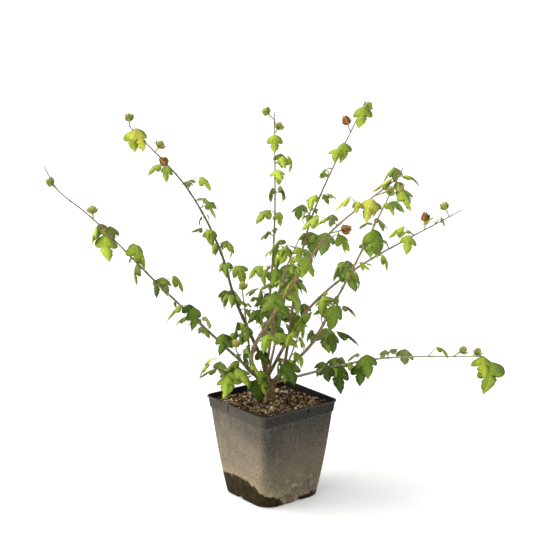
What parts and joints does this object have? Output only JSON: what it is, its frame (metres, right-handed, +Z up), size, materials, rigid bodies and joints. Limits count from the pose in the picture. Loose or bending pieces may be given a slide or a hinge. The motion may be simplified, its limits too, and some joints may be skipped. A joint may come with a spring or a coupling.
{
  "type": "potted hibiscus shrub",
  "caption": "Potted hibiscus shrub in autumn leaf, with long arching canes, lobed leaves and seed capsules, in a square tapered nursery pot.",
  "frame": {"origin": "centre of the pot's flat underside", "axes": "+Z up along the trunk, +X towards the long low cane on the right, -Y towards the side seen in the front view"},
  "size_m": [0.8015, 0.5259, 0.6756],
  "materials": {
    "pot": "dusty matt black moulded plastic, water-stained at the foot",
    "mulch": "composted bark chips",
    "bark": "grey-brown ridged bark",
    "foliage": "soft lobed leaves, dark green to autumn yellow"
  },
  "bodies": {
    "root": {"pot": "pot", "mulch": "mulch", "trunk": "bark", "bough_far_left": "bark", "bough_upper_left": "bark", "bough_centre_back": "bark", "bough_upper_right": "bark", "bough_front": "bark", "bough_right": "bark", "bough_right_back": "bark", "bough_low_right": "bark", "bough_inner_front": "bark", "bough_inner_back": "bark", "foliage_far_left": "foliage", "foliage_upper_left": "foliage", "foliage_short_left": "foliage", "foliage_centre_back": "foliage", "foliage_upper_right": "foliage", "foliage_front": "foliage", "foliage_right": "foliage", "foliage_right_back": "foliage", "foliage_low_right": "foliage", "foliage_inner_front": "foliage", "foliage_inner_back": "foliage", "foliage_low_middle": "foliage", "foliage_low_front": "foliage", "foliage_low_left": "foliage"}
  },
  "joints": []
}
